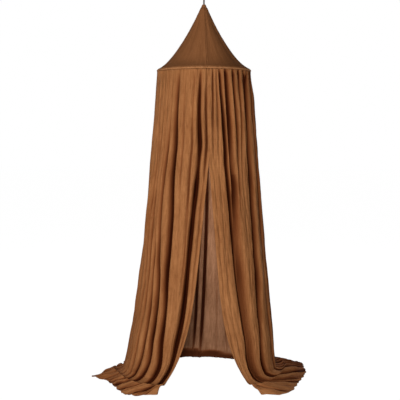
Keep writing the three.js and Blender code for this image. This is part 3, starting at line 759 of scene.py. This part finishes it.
# Small forms of the cloth: mean wavelengths across and along it, then the height.
PUCKER_WAVES, PUCKER_HEIGHT, PUCKER_FADE = (0.012, 0.25), 0.0014, 0.05
SWAY_WAVES, SWAY_HEIGHT = (0.25, 0.9), 0.003
CRINKLE_WAVES, CRINKLE_HEIGHT = (0.020, 0.22), 0.0008
RUMPLE_WAVES, RUMPLE_HEIGHT = (0.10, 0.34), 0.0055
CURL_WAVES, CURL_HEIGHT = (0.07, 1.0), 0.0012
RIDGE_HEIGHT, RIDGE_GROWTH = 0.004, 0.004
SEAM_EASE = 0.030
LAP_LEVELS = (1.08, 1.22)
RIGHT_LAP, LEFT_LAP = 0.003, -0.011
FLOOR_LIE = 0.0003

# Painted shade on the cloth, as a share of that in the deepest fold: in the low spots of the rumples,
# towards the right curtain's side seam, low on the left curtain and in a band along the back's foot.
# The back's band stands on the floor and is higher towards the left.
RUMPLE_SHADE = 0.22
RIGHT_SHADE = 0.26
LEFT_SHADE = 0.17
BAND_SHADE = 0.55
BAND_MIDDLE = 0.47
BAND_SLANT = 1.2
BAND_WAVE, BAND_UNEVEN = 0.16, 0.07


class Curtain:
    """One curtain as a grid. Its rows go down the wall from the casing and then out over the floor.
    Its columns go from the side seam to the free edge, or on the back from seam to seam."""

    def __init__(self, side, grooves, seed):
        self.side, self.seed = side, seed
        wall = mix(curtain_top, PUDDLE_RISE, np.linspace(0, 1, WALL_ROWS) ** ROW_CROWDING)
        steps = np.linspace(0, 1, FLOOR_ROWS + 1)[1:]
        heights = np.concatenate([wall, PUDDLE_RISE * (1 - steps) ** PUDDLE_POWER])
        levels = np.concatenate([wall, mix(PUDDLE_RISE, HEM_LEVEL, steps)])
        probe = np.linspace(0, 1, 60)
        widths = np.array([way_along(wall_plan(side, probe, np.full_like(probe, height)))[-1]
                           for height in heights])
        widths[WALL_ROWS:] *= mix(1.0, FLOOR_SPREAD, steps)
        self.shares, self.folds, self.fold_shade = fold_field(side, grooves, levels, widths, seed)
        self.heights, self.levels = heights[:, None], levels[:, None]
        self.on_floor = np.concatenate([np.zeros(WALL_ROWS), steps])[:, None]
        self.base = self.without_folds(wall, steps)
        self.measure()
        self.rumple = (ripples(self.across, self.along, *RUMPLE_WAVES, seed + 5)
                       * smooth(self.on_floor, 0.08, 0.5))

    def without_folds(self, wall, steps):
        """Points of the wall and the puddle before they are folded."""
        heights = np.broadcast_to(wall[:, None], (WALL_ROWS, self.shares.shape[1]))
        plan = wall_plan(self.side, self.shares[:WALL_ROWS], heights)
        base = np.concatenate([
            np.concatenate([plan, heights[..., None]], axis=-1),
            base_curve(self.side, self.shares[WALL_ROWS:], steps)])
        if not self.side:
            # Away from the side seams the back hangs straight nearly to the floor.
            lower = (PUDDLE_RISE - BACK_RISE) * (1 - seam_closeness(0, self.shares, 0.2))
            base[..., 2] -= lower * np.minimum(
                smooth(self.heights, 0.5, PUDDLE_RISE), self.heights / PUDDLE_RISE)
        return base

    def measure(self):
        """Finds the distances across and along the cloth, for the crinkles and the weave."""
        across = np.linalg.norm(np.diff(self.base, axis=1), axis=2)
        across = np.hypot(across, np.diff(self.folds, axis=1))[GATHER_ROWS:WALL_ROWS].mean(axis=0)
        along = np.linalg.norm(np.diff(self.base, axis=0), axis=2).mean(axis=1)
        self.across = np.append(0, np.cumsum(across))[None, :]
        self.along = np.append(0, np.cumsum(along))[:, None]

    def relief(self):
        """How far each point stands out from the curtain without folds."""
        side, shares, seed = self.side, self.shares, self.seed
        across, along, on_floor = self.across, self.along, self.on_floor
        ridge = RIDGE_HEIGHT + RIDGE_GROWTH * fall(self.heights) * (1 - on_floor)
        billow = level_curve(GROOVE_DEPTHS, self.levels, DEPTH_LEVELS) * smooth(on_floor, 0, 0.35)
        rumple = self.rumple * RUMPLE_HEIGHT * (1 - 0.5 * on_floor)
        settled = 1 - 0.8 * smooth(on_floor, 0.7, 1.0)
        puckers = ripples(across, along, *PUCKER_WAVES, seed + 1) * PUCKER_HEIGHT
        sway = ripples(across, along, *SWAY_WAVES, seed + 2) * SWAY_HEIGHT
        crinkles = ripples(across, along, *CRINKLE_WAVES, seed + 3, 14) * CRINKLE_HEIGHT
        curl = CURL_HEIGHT * (1 + ripples(across, 0 * across, *CURL_WAVES, seed + 6))
        out = ((ridge + self.folds + billow + rumple) * settled
               + puckers * np.exp(-along / PUCKER_FADE)
               + sway * smooth(along, 0.05, 0.5) * (1 - on_floor)
               + crinkles * smooth(along, 0.0, 0.1)
               + curl * smooth(on_floor, 0.7, 1.0))
        if side > 0:
            shoulder = SHOULDER * smooth(shares, 0.02, 0.15) * smooth(shares, 0.55, 0.3)
            out = out + shoulder * smooth(along, 0.0, 0.12) * smooth(along, 0.75, 0.4)
        if side:
            lap = smooth(shares, 0.93, 0.99) * smooth(self.levels, *LAP_LEVELS)
            out = out + lap * (RIGHT_LAP if side > 0 else LEFT_LAP)
        return out * (1 - seam_closeness(side, across, SEAM_EASE))

    def outward(self):
        """Level unit normals that point away from the axis."""
        row_way = np.gradient(self.base, axis=1)
        normals = np.stack([row_way[..., 1], -row_way[..., 0], 0 * row_way[..., 2]], axis=-1)
        normals /= np.maximum(np.linalg.norm(normals, axis=-1, keepdims=True), TINY)
        flip = np.sign((normals * self.base)[..., :2].sum(-1, keepdims=True))
        return normals * np.where(flip == 0, 1, flip)

    def points(self):
        """The folded cloth's points. Low down, the middle of the back rolls inwards."""
        outward = self.outward()
        upright = smooth(self.on_floor, 0.0, 0.55)[..., None]
        normals = mix(outward, np.array([0, 0, 1.0]), upright)
        normals /= np.linalg.norm(normals, axis=-1, keepdims=True)
        points = self.base + normals * self.relief()[..., None]
        if not self.side:
            roll = smooth(self.base[..., 2], BAND_HEIGHT * 1.3, 0.008)
            roll = roll * smooth(self.on_floor, 0.7, 0.0) * (1.3 - self.shares * 0.6)
            roll = roll * smooth(self.shares, 0.02, 0.2) * smooth(self.shares, 0.98, 0.8)
            points -= outward * (BACK_ROLL * roll)[..., None]
        points[..., 2] = np.maximum(points[..., 2], HEM_THICKNESS / 2 + FLOOR_LIE) + floor_z
        return points

    def shade(self):
        """Painted shade at each place: from the depth of its fold and the low spots of the rumples,
        heavier towards the right curtain's side seam, on the lower left curtain and along the foot of
        the back."""
        shares = self.shares
        shade = self.fold_shade + RUMPLE_SHADE * smooth(-self.rumple, 0.1, 1.2)
        if self.side > 0:
            return shade + RIGHT_SHADE * smooth(shares, 0.60, 0.25)
        if self.side < 0:
            return shade + LEFT_SHADE * smooth(shares, 0.75, 0.4) * smooth(self.levels, 1.3, 0.2)
        uneven = BAND_UNEVEN * ripples(self.across, 0 * self.across, BAND_WAVE, 1.0, self.seed + 8)
        top = BAND_HEIGHT * (1 + BAND_SLANT * (shares - 0.45) + uneven)
        band = smooth(self.base[..., 2], top * 1.15, top * 0.8) * smooth(self.on_floor, 0.35, 0.05)
        return np.maximum(shade, BAND_SHADE * band * smooth(np.abs(shares - BAND_MIDDLE), 0.36, 0.21))


def make_curtain(name, side, grooves, seed):
    curtain = Curtain(side, grooves, seed)
    uvs = np.stack(np.broadcast_arrays(curtain.across, curtain.along), axis=-1)
    width, length = uvs[-1, -1]
    rim = smooth(length - uvs[..., 1], HEM_WIDTH, HEM_WIDTH * 0.8)
    if side:
        rim = np.maximum(rim, smooth(width - uvs[..., 0], HEM_WIDTH, HEM_WIDTH * 0.8))
    piece = cloth_mesh(name, curtain.points(), mix(CLOTH_THICKNESS, HEM_THICKNESS, rim), uvs)
    # Painted shade, kept on the mesh for the muslin to darken the cloth by.
    layer = piece.data.attributes.new("painted_shade_level", "FLOAT", "POINT")
    layer.data.foreach_set("value", np.tile(curtain.shade().ravel(), 2).astype(np.float32))
    return piece


for place, side, grooves, seed, flat_size in (
        ("left", -1, LEFT_GROOVES, 20, (0.92, 1.80)),
        ("right", 1, RIGHT_GROOVES, 40, (0.92, 1.88)),
        ("back", 0, BACK_GROOVES, 60, (1.14, 1.76))):
    cloth = make_curtain(f"{place}_curtain_cloth", side, grooves, seed)
    if side:
        dress(cloth, curtain_cloth, None, "curtain_fabric",
              f"curtain_top_front_{place}", f"curtain_front_{place}")
        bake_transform(cloth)
    else:
        dress(cloth, back_cloth_painted_light, "canopy", "curtain_fabric", "curtain_back")

# Crown: four gores with turned seams, a casing round the hoop and a binding at the peak.
# The cone's outline adds a straight part, a curved part and a flare at the brim.
CROWN_STRAIGHT, CROWN_CURVE, CROWN_CURVE_POWER, CROWN_BRIM_POWER = 0.62, 0.27, 2.3, 14
GORE_THICKNESS = 0.0012
GORE_FLAT = (0.40, 0.46)
GORE_GAP = 0.0003
GORE_ROWS, GORE_COLUMNS = 90, 64
GORE_SAG = 0.004
CLOTH_PER_RADIAN = 0.25
UNDER_BINDING = 0.0006
SEAM_RIDGE_HEIGHT, SEAM_RIDGE_WIDTH = 0.0011, 0.0035
SEAM_PUCKER, PULL_MARK, BRIM_PUCKER = 0.0004, 0.0007, 0.0005
FRONT_SEAM = math.radians(4)
binding_foot = binding_low[2]
peak_radius = 0.008
gore_foot_z = hoop_high[2] + 0.0008
crown_drop = apex_z - gore_foot_z


def crown_radius(depth):
    """Radius of the cone at a depth below its peak."""
    share = np.clip(depth / crown_drop, 0, 1)
    brim = 1 - CROWN_STRAIGHT - CROWN_CURVE
    swell = CROWN_STRAIGHT * share + CROWN_CURVE * share ** CROWN_CURVE_POWER
    swell = swell + brim * share ** CROWN_BRIM_POWER
    return peak_radius + (hoop_radius - peak_radius) * swell


def make_gore(place, index):
    """One quarter of the cone, raised along its seams and sagging a little between them."""
    start = apex_z - binding_foot + UNDER_BINDING
    depth = start + (crown_drop - start) * np.linspace(0, 1, GORE_ROWS) ** 0.9
    radius = crown_radius(depth)[:, None]
    share = np.linspace(0, 1, GORE_COLUMNS)[None]
    sweep = math.pi / 2 - 2 * GORE_GAP / radius
    heading = FRONT_SEAM + index * math.pi / 2 + GORE_GAP / radius + sweep * share
    across = share * GORE_FLAT[0]
    along = depth[:, None]
    taut = smooth(along, 0.02, 0.12) * smooth(along, crown_drop, crown_drop - 0.05)
    edge = np.minimum(share, 1 - share) * sweep * radius
    out = SEAM_RIDGE_HEIGHT * np.exp(-(edge / SEAM_RIDGE_WIDTH) ** 2)
    puckers = ripples(across, along, 0.02, 0.05, 300 + index) * SEAM_PUCKER
    out = out + puckers * np.exp(-edge / 0.015)
    out = out + ripples(heading * 0.12, along * 0.2, 0.05, 0.2, 320 + index) * PULL_MARK * taut
    rim = heading * CLOTH_PER_RADIAN
    brim_pucker = ripples(rim, along, 0.012, 0.2, 340 + index) * BRIM_PUCKER
    out = out + brim_pucker * smooth(along, crown_drop - 0.03, crown_drop)
    out = out - GORE_SAG * np.sin(np.pi * share) ** 2 * taut
    slope = np.gradient(crown_radius(depth), depth)[:, None]
    lean = 1 / np.sqrt(1 + slope ** 2)
    reach = radius + out * lean
    points = np.stack([
        reach * np.sin(heading), -reach * np.cos(heading),
        apex_z - along + out * slope * lean], axis=-1)
    uvs = np.stack(np.broadcast_arrays((heading - FRONT_SEAM) * CLOTH_PER_RADIAN, along), axis=-1)
    piece = cloth_mesh(f"crown_gore_{place}_cloth", points, GORE_THICKNESS, uvs)
    dress(piece, crown_cloth_painted_shade, "canopy", "crown_fabric", f"crown_gore_{place}")


for index, place in enumerate(("front_right", "back_right", "back_left", "front_left")):
    make_gore(place, index)


def wrapped_piece(name, points, uvs, material, node):
    """A piece of the crown that closes on itself both ways, in the place of a node."""
    piece = new_mesh(name, points, wrapped_faces(*points.shape[:2]), uvs)
    recalculate(piece)
    dress(piece, material, "canopy", "crown_fabric", node)


CASING_TURNS, CASING_SIDES = 360, 20
CASING_PUCKER = 0.00045


def make_casing():
    """The rolled sleeve round the hoop, puckered where the curtains are gathered into it."""
    heading = full_turn(CASING_TURNS)[:, None]
    turn = full_turn(CASING_SIDES)[None]
    arc = heading * hoop_radius
    pucker = ripples(arc, turn * 0.004, 0.014, 0.05, 400) * CASING_PUCKER
    radius = casing_radius * 0.97 + pucker * (0.4 + 0.6 * (np.sin(turn) < 0.2))
    out = hoop_radius + radius * np.cos(turn)
    points = np.stack([
        out * np.sin(heading), -out * np.cos(heading),
        floor_z + hoop_height + radius * np.sin(turn)], axis=-1)
    uvs = np.stack(np.broadcast_arrays(arc, turn * casing_radius), axis=-1)
    wrapped_piece("hoop_casing_cloth", points, uvs, casing_cloth_painted_highlight, "hoop_casing")


make_casing()

BINDING_HOLE = 0.0055
BINDING_BULGE = 0.0005
BINDING_BEVEL = (0.0004, 0.0003)
HOLE_BEVEL = 0.0006
BINDING_SIDES = 72


def make_binding():
    """The collar in which the gores' points meet and through which the cord comes out."""
    drop = apex_z - binding_foot
    outline = [(BINDING_HOLE, apex_z - HOLE_BEVEL), (BINDING_HOLE + HOLE_BEVEL, apex_z)]
    for share in np.linspace(0, 1, 10):
        bevel = BINDING_BEVEL if share == 0 else (0, 0)
        bulge = BINDING_BULGE * math.sin(math.pi * share)
        outline.append((crown_radius(drop * share) + bulge - bevel[0], apex_z - drop * share - bevel[1]))
    outline.append((BINDING_HOLE, binding_foot))
    radius, height = np.array(outline).T
    turn = full_turn(BINDING_SIDES)[:, None]
    x, y, z = np.broadcast_arrays(radius * np.cos(turn), radius * np.sin(turn), height)
    points, uvs = np.stack([x, y, z], axis=-1), np.stack([np.arctan2(x, -y) * 0.01, z], axis=-1)
    wrapped_piece("apex_binding_cloth", points, uvs, crown_cloth_painted_shade, "apex_binding")


make_binding()

# Metal and plastic: the CAD's own pieces, in place of their plain materials.
for finish, node_names in (
        (hoop_plastic, ("hoop_half_front", "hoop_half_back")),
        (pin_metal, ("hoop_joint_pin_left", "hoop_joint_pin_right")),
        (washer_steel, ("apex_washer",)),
        (steel, ("ceiling_plate", "ceiling_hook", "hook_collar", "hanging_ring"))):
    for node_name in node_names:
        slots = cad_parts[node_name].data.materials
        slots.clear()
        slots.append(finish)

# Floor, world and lamps.
FLOOR_SIZE = 40
FLOOR_GREY = 0.35
FLOOR_GLOW = 1.13
FLOOR_GLOW_SHARE = 0.88
FLOOR_GAP = 0.0005
AMBIENT = 0.05


def make_floor():
    """A pale floor that the camera sees nearly white, with the object's shadow kept on it."""
    m = Nodes("floor_white")
    m.tree.nodes.clear()
    seen = m.add("ShaderNodeLightPath").outputs["Is Camera Ray"]
    diffuse = m.add("ShaderNodeBsdfDiffuse", {"Color": (FLOOR_GREY, FLOOR_GREY, FLOOR_GREY, 1)})
    glow = m.add("ShaderNodeEmission", {"Strength": FLOOR_GLOW})
    blend = m.add("ShaderNodeMixShader", {
        0: m.math("MULTIPLY", seen, FLOOR_GLOW_SHARE), 1: diffuse.outputs[0], 2: glow.outputs[0]})
    m.add("ShaderNodeOutputMaterial", {"Surface": blend.outputs[0]})
    bpy.ops.mesh.primitive_plane_add(size=FLOOR_SIZE, location=(0, 0, floor_z - FLOOR_GAP))
    floor = bpy.context.object
    floor.name = "floor"
    floor.data.materials.append(m.holder)


def make_world():
    """White for the camera, gloss and glass, and a low even light for everything else."""
    m = Nodes("studio", bpy.data.worlds)
    m.tree.nodes.clear()
    path = m.add("ShaderNodeLightPath").outputs
    seen = m.math("MAXIMUM", path["Is Camera Ray"], path["Is Glossy Ray"])
    seen = m.math("MAXIMUM", seen, path["Is Transmission Ray"])
    level = m.add("ShaderNodeMapRange", {"Value": seen, "To Min": AMBIENT, "To Max": 1.0})
    back = m.add("ShaderNodeBackground", {
        "Color": (1, 1, 1, 1), "Strength": level.outputs["Result"]})
    m.add("ShaderNodeOutputWorld", {"Surface": back.outputs[0]})
    bpy.context.scene.world = m.holder


# Name, place, aim, size and watts of each lamp. Heights are above the floor.
BODY_MIDDLE = (0, 0, 1)
LAMPS = (
    ("key", (-0.3, -4.1, 1.35), BODY_MIDDLE, (0.8, 1.1), 165),
    ("left", (-3.1, -2.8, 1.5), BODY_MIDDLE, (0.9, 1.2), 52),
    ("back_left", (-2.4, 3.6, 1.6), BODY_MIDDLE, (1.2, 1.6), 75),
    ("back_right", (2.4, 3.6, 1.6), BODY_MIDDLE, (1.2, 1.6), 110),
    ("inside", (0.02, -0.02, 0.95), (0, 0.4, 0.8), (0.2, 0.9), 1.9),
)


def area_light(name, place, aim, size, watts):
    data = bpy.data.lights.new(name, "AREA")
    data.shape = "RECTANGLE"
    data.size, data.size_y = size
    data.energy = watts
    lamp = add_object(name, data)
    lamp.location = Vector(place) + Vector((0, 0, floor_z))
    lamp.rotation_euler = (Vector(aim) - Vector(place)).to_track_quat("-Z", "Y").to_euler()


make_floor()
make_world()
for lamp in LAMPS:
    area_light(*lamp)

bpy.context.scene.view_settings.view_transform = "Standard"
